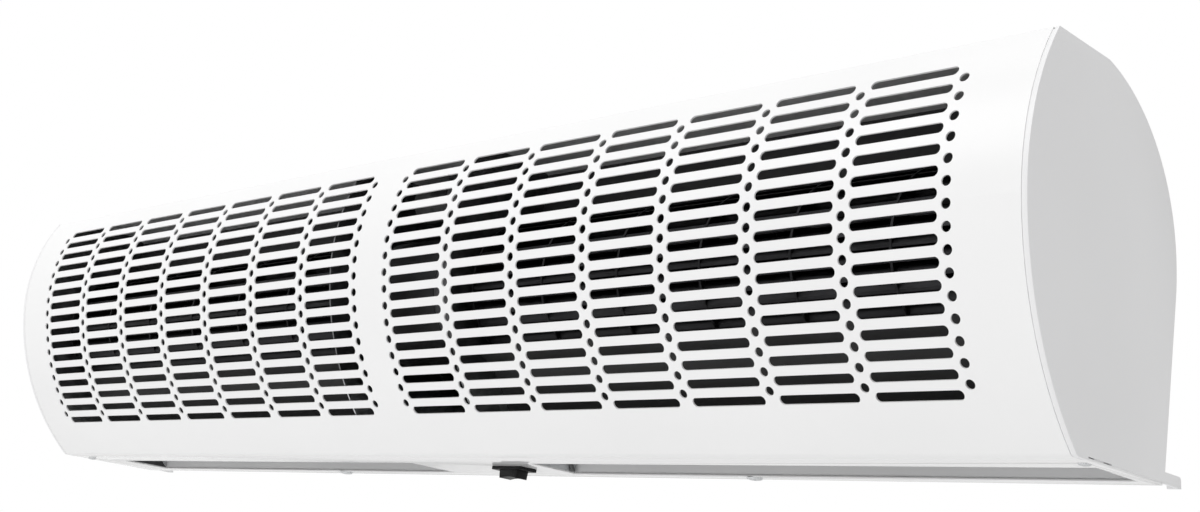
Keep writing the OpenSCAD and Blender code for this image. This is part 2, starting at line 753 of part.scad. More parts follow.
module mirror_about(x, flip) translate([x, 0, 0]) mirror([flip, 0, 0]) translate([-x, 0, 0]) children();

module motor_straps() color("silver") in_body()
  for (side = [0, 1]) mirror_about(motor_x, side)
    along_x(motor_x + cradle_x + strap_x[0], motor_x + cradle_x + strap_x[1]) intersection() {
      translate(rotor_c) {
        difference() {
          circle(r = ring_r + strap_t);
          circle(r = ring_r);
        }
        // Feet on the cradle's arms, above and below the ring
        for (s = [-1, 1]) translate([-strap_t / 2, s * (ring_r + seat_w / 2)])
          square([strap_t, seat_w - 1], center = true);
      }
      translate(rotor_c - [far, far]) square([far, 2 * far]);
    }

// ---------- electrical parts ----------

module capacitor() color("gray") in_body()
  translate([motor_x - capacitor_len / 2, capacitor_at[0], capacitor_at[1]]) rotate([0, 90, 0]) {
    cylinder(h = capacitor_len, r = capacitor_r);
    for (s = [-1, 1]) translate([s * lug[2], 0, capacitor_len]) cylinder(h = lug[0], r = lug[1]);
  }

// Open ring with a stem and a foot on the shell's top
module capacitor_clip() color("silver") in_body() along_x(motor_x - clip_w / 2, motor_x + clip_w / 2) {
  shell_top = body_h - 2 * sheet;
  stem_low = capacitor_at[1] + capacitor_r + clip_sheet / 3;
  translate(capacitor_at) difference() {
    circle(r = capacitor_r + clip_sheet);
    circle(r = capacitor_r);
    translate([-clip_mouth / 2, -far]) square([clip_mouth, far]);
  }
  translate([capacitor_at[0] - clip_sheet / 2, stem_low]) square([clip_sheet, shell_top - stem_low]);
  translate([capacitor_at[0] - clip_sheet / 2, shell_top - clip_sheet]) square([clip_foot, clip_sheet]);
}

// Base on the left bulkhead, with one raised pole for each pair of wires
module terminal_block() color("ivory") in_body()
  translate([outlet_left[0] - tray_sheet, block_at[0], block_at[1]]) difference() {
    union() {
      translate([-block_base[0], 0, 0]) cube([block_base[0], block_end - block_at[0], block_base[1]]);
      for (k = [0:block_poles - 1])
        translate([-block_base[0] - pole[0], block_edge + k * block_pitch, (block_base[1] - pole[2]) / 2])
          cube([pole[0] + 1, pole[1], pole[2]]);
    }
    for (k = [0:block_poles - 1], t = pole_screw_t)
      translate([-block_base[0] - pole[0] - 1, block_edge + k * block_pitch + pole[1] / 2, t])
        rotate([0, 90, 0]) cylinder(h = pole[0] / 2 + 1, r = pole_screw_r);
  }

module cable_grommet() color("black") in_body()
  translate([entry_at[0], body_depth - sheet, entry_at[1]]) rotate([-90, 0, 0]) difference() {
    union() {
      translate([0, 0, -sheet - entry_lip]) cylinder(h = entry_lip, r = entry_r + entry_rim);
      translate([0, 0, -sheet]) cylinder(h = sheet, r = entry_r + entry_wall);
      cylinder(h = entry_lip, r = entry_r + entry_rim);
    }
    cylinder(h = drill, r = entry_r, center = true);
  }

// Saddle that grips the supply cable beside its entry
module cable_clamp() color("ivory") in_body()
  translate([outlet_left[0] - tray_sheet, clamp_at[0], clamp_at[1]]) difference() {
    union() {
      translate([-clamp_base[0], 0, 0]) cube(clamp_base);
      translate([-clamp_base[0] - saddle[0], (clamp_base[1] - saddle[1]) / 2, 0])
        cube([saddle[0], saddle[1], clamp_base[2]]);
    }
    translate([-clamp_base[0] - saddle[0] / 2, clamp_base[1] / 2, -1])
      cylinder(h = clamp_base[2] + 2, r = entry_r - 1);
  }

module tube(a, b, r) {
  v = b - a;
  translate(a) rotate([0, acos(v[2] / norm(v)), atan2(v[1], v[0])]) cylinder(h = norm(v), r = r);
}

module wiring_loom() color("dimgray") in_body() {
  route = [[loom_start_x, block_end, loom_at[1]], [loom_start_x, loom_at[0], loom_at[1]],
    [motor_x, loom_at[0], loom_at[1]], [switch_at[0] - loom_slant, loom_down[0], loom_down[1]],
    [switch_at[0], loom_down[0], loom_down[2]], [switch_at[0], switch_at[1], loom_down[3]],
    [switch_at[0], switch_at[1], blade_top]];
  for (k = [0:len(route) - 2]) tube(route[k], route[k + 1], loom_r);
  for (k = [1:len(route) - 2]) translate(route[k]) sphere(r = loom_r + 0.3);
  // Branch to the motor's winding, which it meets on the stator's upper rear side
  tube([motor_x - branch_x, rotor_c[0] + branch_in, rotor_c[1] + branch_in],
    [motor_x - branch_x, loom_at[0], loom_at[1]], branch_r);
}

module loom_grommets() color("black") in_body()
  for (x = [outlet_left[0] - tray_sheet, outlet_left[1]]) translate([x, loom_at[0], loom_at[1]])
    rotate([0, 90, 0]) difference() {
      union() {
        translate([0, 0, -1.5]) cylinder(h = 1.5, r = loom_hole_r + 2);
        cylinder(h = tray_sheet, r = loom_hole_r);
        translate([0, 0, tray_sheet]) cylinder(h = 1.5, r = loom_hole_r + 2);
      }
      translate([0, 0, -4]) cylinder(h = 12, r = loom_r);
    }

module at_switch() translate([switch_at[0], switch_at[1], 0]) children();

module switch_housing() color("black") in_body() at_switch() difference() {
  union() {
    translate([0, 0, -switch_flange[2]]) linear_extrude(switch_flange[2])
      rounded_2d(switch_flange[0], switch_flange[1], switch_round);
    translate([0, 0, switch_top / 2]) cube([switch_box[0], switch_box[1], switch_top], center = true);
    for (s = [-9, 0, 9]) translate([s - 0.4, -3, switch_top]) cube([0.8, 6, blade_top - switch_top]);
    // Snap-in clips, over the tray's sheet at both ends
    for (side = [0, 1]) mirror([side, 0, 0]) translate([switch_box[0] / 2, 3, tray_sheet + 0.1])
      rotate([90, 0, 0]) linear_extrude(6)
        polygon([[-1, 0], [clip_rise, 0], [clip_rise, 1], [0, clip_run], [-1, clip_run]]);
  }
  translate([-well[0] / 2, -well[1] / 2, -5]) cube([well[0], well[1], 5 + well_top]);
  translate([0, 0, rocker_pivot_t]) rotate([90, 0, 0]) cylinder(h = 12.4, r = pin_r + run_gap, center = true);
}

// Rocker with two raised ends, turning on pins along the depth
module switch_rocker() color("black") in_body() at_switch() {
  low = switch_flange[2] + rocker_size[2];
  half = rocker_size[0] / 2;
  dish_r = 36;
  dish_rise = 1.4;
  rotate([90, 0, 0]) linear_extrude(rocker_size[1], center = true) difference() {
    polygon([[-half + 0.8, -low], [half - 0.8, -low], [half, -switch_flange[2]], [half, 2], [4, 5.5],
      [-4, 5.5], [-half, 2], [-half, -switch_flange[2]]]);
    translate([0, -low - dish_r + dish_rise]) circle(r = dish_r);
  }
  translate([0, 0, rocker_pivot_t]) rotate([90, 0, 0]) cylinder(h = 12.1, r = pin_r, center = true);
}

// ---------- wall brackets ----------

// Leaf on the wall, arm through the shell's slot, tip turned up behind it
module wall_bracket() difference() {
  union() {
    rotate([90, 0, 0]) linear_extrude(bracket_sheet) rounded_2d(leaf[0], leaf[1], leaf_round);
    translate([-hook[0] / 2, -hook[1], -bracket_sheet]) cube([hook[0], hook[1], bracket_sheet]);
    translate([0, -hook[1] + bracket_sheet, hook[2] / 2 - bracket_sheet]) rotate([90, 0, 0])
      linear_extrude(bracket_sheet) {
        rounded_2d(hook[0], hook[2], hook_round);
        translate([-hook[0] / 2, -hook[2] / 2]) square([hook[0], hook[2] / 2]);
      }
  }
  for (s = [-1, 1]) translate([0, 0, s * bracket_hole_pitch / 2]) rotate([90, 0, 0])
    cylinder(h = 12, r = wall_hole_r, center = true);
}

module wall_bracket_right() color("silver") translate([bracket_x, 0, 0]) wall_bracket();
module wall_bracket_left() color("silver") translate([-bracket_x, 0, 0]) wall_bracket();

// ---------- fasteners ----------

// Screw with a domed head; the head's seat is at z = 0 and z points out of the head
module domed_screw(head_r, head_h, shank_r, shank) {
  edge_h = head_h / 3;
  rise = head_h - edge_h;
  dome_r = (head_r * head_r + rise * rise) / (2 * rise);
  intersection() {
    cylinder(h = head_h, r = head_r);
    translate([0, 0, head_h - dome_r]) sphere(r = dome_r);
  }
  translate([0, 0, -shank]) cylinder(h = shank + head_h / 4, r = shank_r);
}

module cover_screws() color("silver") in_body()
  for (x = cover_screw_x) translate([x, cover_screw_d, body_h]) domed_screw(3.8, 2.2, 2, 8);

module shell_screws() color("silver") in_body()
  for (x = concat(shell_screw_x, [-cap_screw_x, cap_screw_x]), t = shell_screw_t)
    translate([x, body_depth - sheet, t]) rotate([-90, 0, 0]) domed_screw(3.8, 2.2, 2, 8);

module tray_screws() color("silver") in_body() {
  for (x = tray_screw_x) translate([x, tray_screw_d, 0]) rotate([180, 0, 0]) domed_screw(5, 1.8, 2, 7);
  for (side = [-1, 1]) translate([side * corner_screw[0], corner_screw[1], 0]) rotate([180, 0, 0])
    domed_screw(3.2, 1, corner_screw_r, 5);
}

front_cover();
rear_shell();
bottom_tray();
side_cap_left();
side_cap_right();
bulkhead_left_end();
bulkhead_motor_left();
bulkhead_motor_right();
bulkhead_right_end();
scroll_guide_left();
scroll_guide_right();
tongue_plate_left();
tongue_plate_right();
impeller_left();
impeller_right();
drive_hub_left();
drive_hub_right();
stub_shaft_left();
stub_shaft_right();
bush_left();
bush_right();
bush_boot_left();
bush_boot_right();
motor_stator();
motor_end_left();
motor_end_right();
motor_bearing_left();
motor_bearing_right();
motor_rotor();
motor_shaft();
rubber_ring_left();
rubber_ring_right();
motor_cradle();
motor_straps();
capacitor();
capacitor_clip();
terminal_block();
cable_grommet();
cable_clamp();
wiring_loom();
loom_grommets();
switch_housing();
switch_rocker();
wall_bracket_left();
wall_bracket_right();
cover_screws();
shell_screws();
tray_screws();
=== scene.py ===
"""Looks of a wall-hung air curtain: finishes, fine pieces, studio and camera."""
import json
import math

import bmesh
import bpy
from mathutils import Matrix, Vector


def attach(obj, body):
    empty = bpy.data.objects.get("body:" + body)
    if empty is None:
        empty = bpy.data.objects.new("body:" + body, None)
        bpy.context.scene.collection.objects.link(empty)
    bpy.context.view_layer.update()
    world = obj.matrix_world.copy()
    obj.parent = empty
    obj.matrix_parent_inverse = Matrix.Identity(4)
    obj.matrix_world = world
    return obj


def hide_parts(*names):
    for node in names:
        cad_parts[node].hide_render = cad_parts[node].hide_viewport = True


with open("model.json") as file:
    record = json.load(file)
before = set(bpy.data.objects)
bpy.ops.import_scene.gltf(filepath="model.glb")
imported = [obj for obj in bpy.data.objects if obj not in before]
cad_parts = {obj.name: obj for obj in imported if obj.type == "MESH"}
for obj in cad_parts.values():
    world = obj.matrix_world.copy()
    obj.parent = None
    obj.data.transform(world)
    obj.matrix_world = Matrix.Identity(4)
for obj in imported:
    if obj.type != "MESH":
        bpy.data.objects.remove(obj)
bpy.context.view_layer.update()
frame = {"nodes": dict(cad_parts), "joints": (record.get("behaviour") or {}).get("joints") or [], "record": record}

MM = 0.001

# ---------- the body's own frame ----------

# The rocker turns about the body's depth axis, so its joint gives the body's lean and place
ROCKER_JOINT = next(joint for joint in frame["joints"] if joint["name"] == "rocker_tilt")
ALONG = Vector((1, 0, 0))
BACK = Vector(ROCKER_JOINT["axis"])
UP = ALONG.cross(BACK)

# The joint's place in the body's millimetres: from the middle, the front and the tray's underside
JOINT_ALONG = 44.5
JOINT_DEPTH = 115
JOINT_HEIGHT = 1.5
ORIGIN = (Vector(ROCKER_JOINT["pos_m"]) - MM * JOINT_ALONG * ALONG
          - MM * JOINT_DEPTH * BACK - MM * JOINT_HEIGHT * UP)


def at(along, depth, height):
    """The place in the frame of a point given in the body's millimetres."""
    return ORIGIN + MM * (along * ALONG + depth * BACK + height * UP)


# ---------- shader nodes ----------

# Nearly all of the noise lies between these values
NOISE_SPAN = (0.3, 0.7)


def feed(tree, value, socket):
    """Links another node's output to a socket, or sets the socket to a constant."""
    if isinstance(value, bpy.types.NodeSocket):
        tree.links.new(value, socket)
    else:
        socket.default_value = value


def new_node(tree, kind, sockets=None, **settings):
    """Adds a node, feeds the sockets that are named or numbered, and gives its outputs."""
    node = tree.nodes.new("ShaderNode" + kind)
    for name, value in settings.items():
        setattr(node, name, value)
    for key, value in (sockets or {}).items():
        feed(tree, value, node.inputs[key])
    return node.outputs


def maximum(tree, first, second):
    return new_node(tree, "Math", {0: first, 1: second}, operation="MAXIMUM")[0]


def product(tree, first, second):
    return new_node(tree, "Math", {0: first, 1: second}, operation="MULTIPLY")[0]


def vector_maths(tree, operation, first, second):
    return new_node(tree, "VectorMath", {0: first, 1: second}, operation=operation)


def surface_place(tree):
    """Object coordinates, which are the frame's own metres on every piece."""
    return new_node(tree, "TexCoord")["Object"]


def along_axis(tree, place, axis):
    """How far a place lies along one of the body's axes, in metres from the body's origin."""
    relative = vector_maths(tree, "SUBTRACT", place, ORIGIN)["Vector"]
    return vector_maths(tree, "DOT_PRODUCT", relative, axis)["Value"]


def noise(tree, place, scale, detail=3.0):
    """Noise between 0 and 1 whose scale is its number of cells in a metre."""
    return new_node(tree, "TexNoise", {"Vector": place, "Scale": scale, "Detail": detail})["Fac"]


def spread(tree, value, low, high, span=(0.0, 1.0)):
    """Maps the span of a value to a range of numbers or of colours."""
    if isinstance(low, tuple):
        share = spread(tree, value, 0.0, 1.0, span)
        ends = {"Factor": share, "A": (*low, 1), "B": (*high, 1)}
        return new_node(tree, "Mix", ends, data_type="RGBA")["Result"]
    ends = {"From Min": span[0], "From Max": span[1], "To Min": low, "To Max": high}
    return new_node(tree, "MapRange", {"Value": value, **ends})["Result"]


def toned(tree, value, colour, shares, span=NOISE_SPAN):
    """A colour that follows a value, between two shares of itself."""
    low, high = (tuple(min(1.0, part * share) for part in colour) for share in shares)
    return spread(tree, value, low, high, span)


def dimmed(tree, colour, factor):
    """A colour times a grey factor."""
    return new_node(tree, "Mix", {"Factor": 1, "A": colour, "B": factor},
                    data_type="RGBA", blend_type="MULTIPLY")["Result"]


# ---------- camera ----------

# Fitted to the photo: the place is in metres, and the shift is a share of the frame's width
CAMERA_AT = (0.90645, -0.83184, -0.16103)
CAMERA_AZIMUTH = math.radians(45.06)
CAMERA_PITCH = math.radians(3.25)
CAMERA_ROLL = math.radians(-0.06)
CAMERA_SHIFT = 0.082
FOCAL_PIXELS = 1681
FRAME_WIDTH = 1200
SENSOR_WIDTH = 36
CLIP_START = 0.05
CLIP_END = 100


def make_camera():
    """A camera in front of the body's right end, which looks left, back and a little upwards."""
    sin_azimuth, cos_azimuth = math.sin(CAMERA_AZIMUTH), math.cos(CAMERA_AZIMUTH)
    sin_pitch, cos_pitch = math.sin(CAMERA_PITCH), math.cos(CAMERA_PITCH)
    forward = Vector((-sin_azimuth * cos_pitch, cos_azimuth * cos_pitch, sin_pitch))
    level_right = Vector((cos_azimuth, sin_azimuth, 0))
    level_up = level_right.cross(forward)
    right = math.cos(CAMERA_ROLL) * level_right + math.sin(CAMERA_ROLL) * level_up
    up = right.cross(forward)
    data = bpy.data.cameras.new("camera")
    data.sensor_width = SENSOR_WIDTH
    data.lens = FOCAL_PIXELS * SENSOR_WIDTH / FRAME_WIDTH
    data.shift_y = CAMERA_SHIFT
    data.clip_start = CLIP_START
    data.clip_end = CLIP_END
    camera = bpy.data.objects.new("camera", data)
    bpy.context.scene.collection.objects.link(camera)
    rotation = Matrix((right, up, -forward)).transposed().to_4x4()
    camera.matrix_world = Matrix.Translation(CAMERA_AT) @ rotation
    bpy.context.scene.camera = camera


# ---------- studio ----------

FLOOR_Z = -0.62
FLOOR_SIZE = 7.0
FLOOR_COLOUR = (0.93, 0.93, 0.93)
FLOOR_ROUGHNESS = 0.6

# The world's level as a light; the camera, reflections and glass see it as white
AMBIENT = 0.57

# Place of each light, the point that it faces, its size and its power, in metres and watts
LIGHTS = {
    "key": ((-0.5, -2.5, 2.2), (0, -0.1, 0), (3.2, 1.6), 40),
    "overhead": ((0.2, -0.3, 2.8), (0, -0.1, 0), (3.0, 2.0), 22),
    "reflector": ((-0.2, -0.9, FLOOR_Z + 0.02), (-0.2, -0.9, 1), (3.0, 1.4), 2.2),
}


def make_world():
    world = bpy.data.worlds.new("studio")
    world.use_nodes = True
    tree = world.node_tree
    tree.nodes.clear()
    rays = new_node(tree, "LightPath")
    direct = maximum(tree, rays["Is Camera Ray"], rays["Is Glossy Ray"])
    seen_share = maximum(tree, direct, rays["Is Transmission Ray"])
    seen = new_node(tree, "Background", {"Color": (1, 1, 1, 1)})[0]
    lit = new_node(tree, "Background", {"Color": (AMBIENT, AMBIENT, AMBIENT, 1)})[0]
    mixed = new_node(tree, "MixShader", {"Fac": seen_share, 1: lit, 2: seen})[0]
    new_node(tree, "OutputWorld", {"Surface": mixed})
    bpy.context.scene.world = world


def area_light(name, place, target, size, power):
    """A rectangular light that the camera doesn't see."""
    data = bpy.data.lights.new(name, "AREA")
    data.shape = "RECTANGLE"
    data.size, data.size_y = size
    data.energy = power
    light = bpy.data.objects.new(name, data)
    bpy.context.scene.collection.objects.link(light)
    light.location = place
    light.rotation_euler = (Vector(target) - Vector(place)).to_track_quat("-Z", "Y").to_euler()
    light.visible_camera = False


def make_studio():
    make_world()
    for name, (place, target, size, power) in LIGHTS.items():
        area_light(name, place, target, size, power)
    bpy.ops.mesh.primitive_plane_add(size=FLOOR_SIZE, location=(0, 0, FLOOR_Z))
    floor = bpy.context.object
    floor.name = "floor"
    floor.data.materials.append(new_material("floor", FLOOR_COLOUR, FLOOR_ROUGHNESS)[0])
    bpy.context.scene.view_settings.view_transform = "Standard"


# ---------- materials ----------

def new_material(name, colour, roughness, metallic=0.0):
    """A plain material, its node tree and the sockets of its shader."""
    material = bpy.data.materials.new(name)
    material.use_nodes = True
    material.diffuse_color = (*colour, 1)
    skin = material.node_tree.nodes["Principled BSDF"].inputs
    skin["Base Color"].default_value = (*colour, 1)
    skin["Roughness"].default_value = roughness
    skin["Metallic"].default_value = metallic
    return material, material.node_tree, skin


def vary_roughness(tree, skin, value, roughness, steps):
    """Lets the roughness follow a noise, between two steps from its mean."""
    low, high = (roughness + step for step in steps)
    feed(tree, spread(tree, value, low, high, NOISE_SPAN), skin["Roughness"])


def bump(tree, skin, height, depth, strength):
    """Bends the shading like a relief of this depth in metres."""
    relief = new_node(tree, "Bump", {"Height": height, "Distance": depth, "Strength": strength})
    feed(tree, relief["Normal"], skin["Normal"])


def orange_peel(tree, skin, place, scale=700):
    """The faint waviness of a sprayed coating."""
    bump(tree, skin, noise(tree, place, scale, detail=2), depth=0.00002, strength=0.35)


def enamel(name, colour, roughness):
    """Stoved enamel on sheet steel: nearly even, with a faint orange peel."""
    material, tree, skin = new_material(name, colour, roughness)
    place = surface_place(tree)
    cloud = noise(tree, place, scale=9, detail=2)
    feed(tree, toned(tree, cloud, colour, shares=(0.985, 1.01)), skin["Base Color"])
    vary_roughness(tree, skin, noise(tree, place, scale=260), roughness, steps=(-0.015, 0.02))
    orange_peel(tree, skin, place)
    return material


# Where the outlets end upwards and the fan chamber starts, as heights on the body in metres; the painted shade
# fades in between them
CHAMBER_SHADE_EDGE = (0.034, 0.052)
# Where an outlet's rear wall starts, as depths in the body in metres; in front of it the duct takes painted shade
REAR_WALL_EDGE = (0.112, 0.122)
# Depth and height of the axis that the upper rear shell curves round, in the body's millimetres
SCROLL_AXIS = (47, 98)
# Distance from that axis to a face along its normal, in metres, which is below 0 on the inside
FACING_SPAN = (-0.0005, 0.0005)


def chamber_shade_mask(tree, place):
    """1 in the outlets, falling to 0 over the edge of the fan chamber, where the painted shade starts."""
    return spread(tree, along_axis(tree, place, UP), 1.0, 0.0, CHAMBER_SHADE_EDGE)


def duct_paint_with_chamber_shade(name, lip_colour, chamber_shade_colour, roughness):
    """Light paint on the rear wall of an outlet, and a near-black painted shade on the rest of the scroll."""
    material, tree, skin = new_material(name, lip_colour, roughness)
    place = surface_place(tree)
    rear = spread(tree, along_axis(tree, place, BACK), 0.0, 1.0, REAR_WALL_EDGE)
    share = product(tree, chamber_shade_mask(tree, place), rear)
    cloud = spread(tree, noise(tree, place, scale=14), low=0.93, high=1.0, span=NOISE_SPAN)
    # Painted shade: the fan chamber and the front of each outlet take the dark colour
    paint_with_shade = spread(tree, share, chamber_shade_colour, lip_colour)
    feed(tree, dimmed(tree, paint_with_shade, cloud), skin["Base Color"])
    orange_peel(tree, skin, place, scale=900)
    return material


def enamel_with_inner_shade(name, colour, inner_shade_colour, roughness):
    """Enamel on the outside of a curved sheet, and a darker grey on its inside that is painted shade."""
    material, tree, skin = new_material(name, colour, roughness)
    place = surface_place(tree)
    outward = vector_maths(tree, "SUBTRACT", place, at(0, *SCROLL_AXIS))["Vector"]
    across = vector_maths(tree, "MULTIPLY", outward, (0, 1, 1))["Vector"]
    normal = new_node(tree, "NewGeometry")["True Normal"]
    facing = vector_maths(tree, "DOT_PRODUCT", across, normal)["Value"]
    cloud = spread(tree, noise(tree, place, scale=9, detail=2), low=0.985, high=1.0, span=NOISE_SPAN)
    # Painted shade: faces on the inside of the sheet take the darker grey
    side = spread(tree, facing, inner_shade_colour, colour, FACING_SPAN)
    feed(tree, dimmed(tree, side, cloud), skin["Base Color"])
    orange_peel(tree, skin, place)
    return material


def galvanised(name, colour, chamber_shade_share=1.0):
    """Zinc-coated sheet: crystals that differ in tone and gloss, with painted shade that dims it in the fan
    chamber.
    """
    material, tree, skin = new_material(name, colour, roughness=0.4, metallic=1.0)
    place = surface_place(tree)
    crystal = new_node(tree, "TexVoronoi", {"Vector": place, "Scale": 140})["Color"]
    draw = new_node(tree, "SeparateColor", {"Color": crystal})
    tone = toned(tree, draw["Red"], colour, shares=(0.86, 1.1), span=(0.0, 1.0))
    # Painted shade: inside the fan chamber the zinc's colour is dimmed to a share of itself
    if chamber_shade_share < 1:
        tone = dimmed(tree, tone, spread(tree, chamber_shade_mask(tree, place), low=chamber_shade_share, high=1.0))
    feed(tree, tone, skin["Base Color"])
    feed(tree, spread(tree, draw["Green"], low=0.32, high=0.5), skin["Roughness"])
    bump(tree, skin, noise(tree, place, scale=500, detail=2), depth=0.00001, strength=0.3)
    return material


def rolled_metal(name, colour, roughness, stretch=(1, 1, 1)):
    """Metal with fine streaks drawn out along the axis whose stretch is small."""
    material, tree, skin = new_material(name, colour, roughness, metallic=1.0)
    drawn = new_node(tree, "Mapping", {"Vector": surface_place(tree), "Scale": stretch})["Vector"]
    streak = noise(tree, drawn, scale=900, detail=4)
    feed(tree, toned(tree, streak, colour, shares=(0.86, 1.1)), skin["Base Color"])
    vary_roughness(tree, skin, streak, roughness, steps=(-0.08, 0.1))
    bump(tree, skin, streak, depth=0.00001, strength=0.4)
    return material


def moulding(name, colour, roughness, grain=2600, specular=0.5):
    """Moulded plastic or rubber with a fine, dull grain."""
    material, tree, skin = new_material(name, colour, roughness)
    skin["Specular IOR Level"].default_value = specular
    place = surface_place(tree)
    cloud = noise(tree, place, scale=120)
    feed(tree, toned(tree, cloud, colour, shares=(0.85, 1.15)), skin["Base Color"])
    speck = noise(tree, place, grain, detail=2)
    vary_roughness(tree, skin, speck, roughness, steps=(-0.06, 0.08))
    bump(tree, skin, speck, depth=0.00002, strength=0.4)
    return material


def laminated(name, colour):
    """Stacked core laminations, as bands a millimetre apart along the rotor's axis."""
    material, tree, skin = new_material(name, colour, roughness=0.45, metallic=0.6)
    bands = {"Vector": surface_place(tree), "Scale": 320, "Distortion": 0.4}
    band = new_node(tree, "TexWave", bands)["Fac"]
    feed(tree, toned(tree, band, colour, shares=(0.6, 1.2), span=(0.0, 1.0)), skin["Base Color"])
    bump(tree, skin, band, depth=0.0001, strength=0.5)
    return material


# Finishes that show only through the slots are set by the photo's grey levels there, and the
# real ones may be lighter
MATERIALS = {
    "white_enamel": enamel("white_enamel", (0.90, 0.90, 0.90), 0.32),
    # The end caps' enamel is the cover's white dimmed a little, which paints shade on the ends
    "cap_enamel": enamel("cap_enamel", (0.85, 0.85, 0.855), 0.32),
    "duct_coating": duct_paint_with_chamber_shade("duct_coating", (0.83, 0.83, 0.835), (0.055, 0.055, 0.056), 0.5),
    # Painted shade dims this sheet to 0.3 of its colour inside the fan chamber
    "galvanised_sheet": galvanised("galvanised_sheet", (0.62, 0.63, 0.64), chamber_shade_share=0.3),
    "bracket_zinc": galvanised("bracket_zinc", (0.68, 0.69, 0.71)),
    # The blades, motor castings, laminations and capacitor are darkened towards the shade in the fan chamber:
    # partly their own dark finish, partly painted shade
    "blade_aluminium": rolled_metal("blade_aluminium", (0.05, 0.05, 0.053), 0.42, (0.1, 1, 1)),
    "cast_aluminium": rolled_metal("cast_aluminium", (0.15, 0.15, 0.155), 0.5),
    "core_laminations": laminated("core_laminations", (0.04, 0.04, 0.042)),
    "shaft_steel": rolled_metal("shaft_steel", (0.62, 0.62, 0.63), 0.25, (1, 0.1, 0.1)),
    "bearing_steel": rolled_metal("bearing_steel", (0.70, 0.70, 0.71), 0.2),
    "sintered_bronze": rolled_metal("sintered_bronze", (0.55, 0.38, 0.20), 0.45),
    "black_rubber": moulding("black_rubber", (0.028, 0.028, 0.03), 0.65),
    "capacitor_case": moulding("capacitor_case", (0.18, 0.18, 0.18), 0.4),
    "ivory_moulding": moulding("ivory_moulding", (0.80, 0.78, 0.70), 0.4),
    "loom_sleeve": moulding("loom_sleeve", (0.05, 0.05, 0.052), 0.55),
    "black_moulding": moulding("black_moulding", (0.005, 0.005, 0.0055), 0.36, specular=0.15),
    "screw_zinc": rolled_metal("screw_zinc", (0.66, 0.67, 0.68), 0.3),
}

# Nodes and pieces whose finish differs from the rest of their slot
OWN_FINISH = {
    # The shell's darker inside is painted shade
    "rear_shell": enamel_with_inner_shade("shell_enamel_inner_shade", (0.90, 0.90, 0.90), (0.60, 0.60, 0.605), 0.32),
    "bottom_tray": enamel("tray_enamel", (0.90, 0.90, 0.90), 0.09),
    # A dark grey that paints the shade in the outlets' corners
    "outlet_corner_shade_strips": moulding("corner_shade_strip", (0.12, 0.12, 0.122), 0.8, grain=1400),
}

BODIES = frame["record"]["behaviour"]["bodies"]
BODY_OF = {node: body for body, nodes in BODIES.items() for node in nodes}
SLOT_OF = {row["node"]: row["material_slot"] for row in frame["record"]["subparts"]}


def finish_of(name, slot):
    return OWN_FINISH.get(name) or MATERIALS[slot]


def finish_nodes():
    """Gives every node of the frame its material."""
    for name, slot in SLOT_OF.items():
        materials = frame["nodes"][name].data.materials
        materials.clear()
        materials.append(finish_of(name, slot))


# ---------- fine pieces ----------

# Corners of a solid's faces that lie this close, in metres, are one
WELD = 0.000002
# Faces that meet at less than the first angle become one, and edges above the second are sharp
FLAT_ANGLE = math.radians(0.5)
SHARP_ANGLE = math.radians(40)
# Segments of a rounded edge, and the profile that makes it an arc
ROUND_SEGMENTS = 2
ROUND_PROFILE = 0.5

# Width of the rounded edge that each of these nodes gets, in millimetres
SOFT_EDGES = {
    "side_cap_left": 0.4, "side_cap_right": 0.4, "bottom_tray": 0.3,
    "switch_housing": 0.35, "switch_rocker": 0.5, "wall_bracket_left": 0.5, "wall_bracket_right": 0.5,
    "cable_grommet": 0.6, "cable_clamp": 0.6, "terminal_block": 0.4,
    "rubber_ring_left": 0.8, "rubber_ring_right": 0.8, "bush_boot_left": 0.6, "bush_boot_right": 0.6,
    "drive_hub_left": 0.5, "drive_hub_right": 0.5, "motor_end_left": 0.8, "motor_end_right": 0.8,
    "motor_bearing_left": 0.4, "motor_bearing_right": 0.4, "capacitor": 0.8,
}


def add_piece(name, shape, body, slot, *replaced):
    """Makes a shape a piece with its finish, on a body, in place of the frame's nodes if any."""
    mesh = bpy.data.meshes.new(name)
    shape.to_mesh(mesh)
    shape.free()
    mesh.materials.append(finish_of(replaced[0] if replaced else name, slot))
    mesh.shade_smooth()
    mesh.set_sharp_from_angle(angle=SHARP_ANGLE)
    piece = bpy.data.objects.new(name, mesh)
    bpy.context.scene.collection.objects.link(piece)
    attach(piece, body)
    if replaced:
        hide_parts(*replaced)


def round_edges(shape, width):
    sharp = [edge for edge in shape.edges if edge.is_manifold and edge.calc_face_angle() > SHARP_ANGLE]
    bmesh.ops.bevel(shape, geom=sharp, offset=MM * width, offset_type="OFFSET", segments=ROUND_SEGMENTS,
                    profile=ROUND_PROFILE, affect="EDGES", clamp_overlap=True)


def soften(node, width):
    """The node's solid with its sharp edges rounded, in the node's place."""
    shape = bmesh.new()
    shape.from_mesh(frame["nodes"][node].data)
    bmesh.ops.remove_doubles(shape, verts=shape.verts, dist=WELD)
    bmesh.ops.dissolve_limit(shape, angle_limit=FLAT_ANGLE, verts=shape.verts, edges=shape.edges)
    round_edges(shape, width)
    add_piece(node + "_edged", shape, BODY_OF[node], SLOT_OF[node], node)


def prism(shape, outline, start, end):
    """Draws an outline in depth and height out along the length, in the body's millimetres."""
    first, last = ([shape.verts.new(at(along, *corner)) for corner in outline] for along in (start, end))
    shape.faces.new(first)
    shape.faces.new(last[::-1])
    for corner in range(len(outline)):
        shape.faces.new((first[corner], last[corner], last[corner - 1], first[corner - 1]))
    bmesh.ops.recalc_face_normals(shape, faces=shape.faces)


# ---------- painted shade strips and sheet at the outlets' ends ---

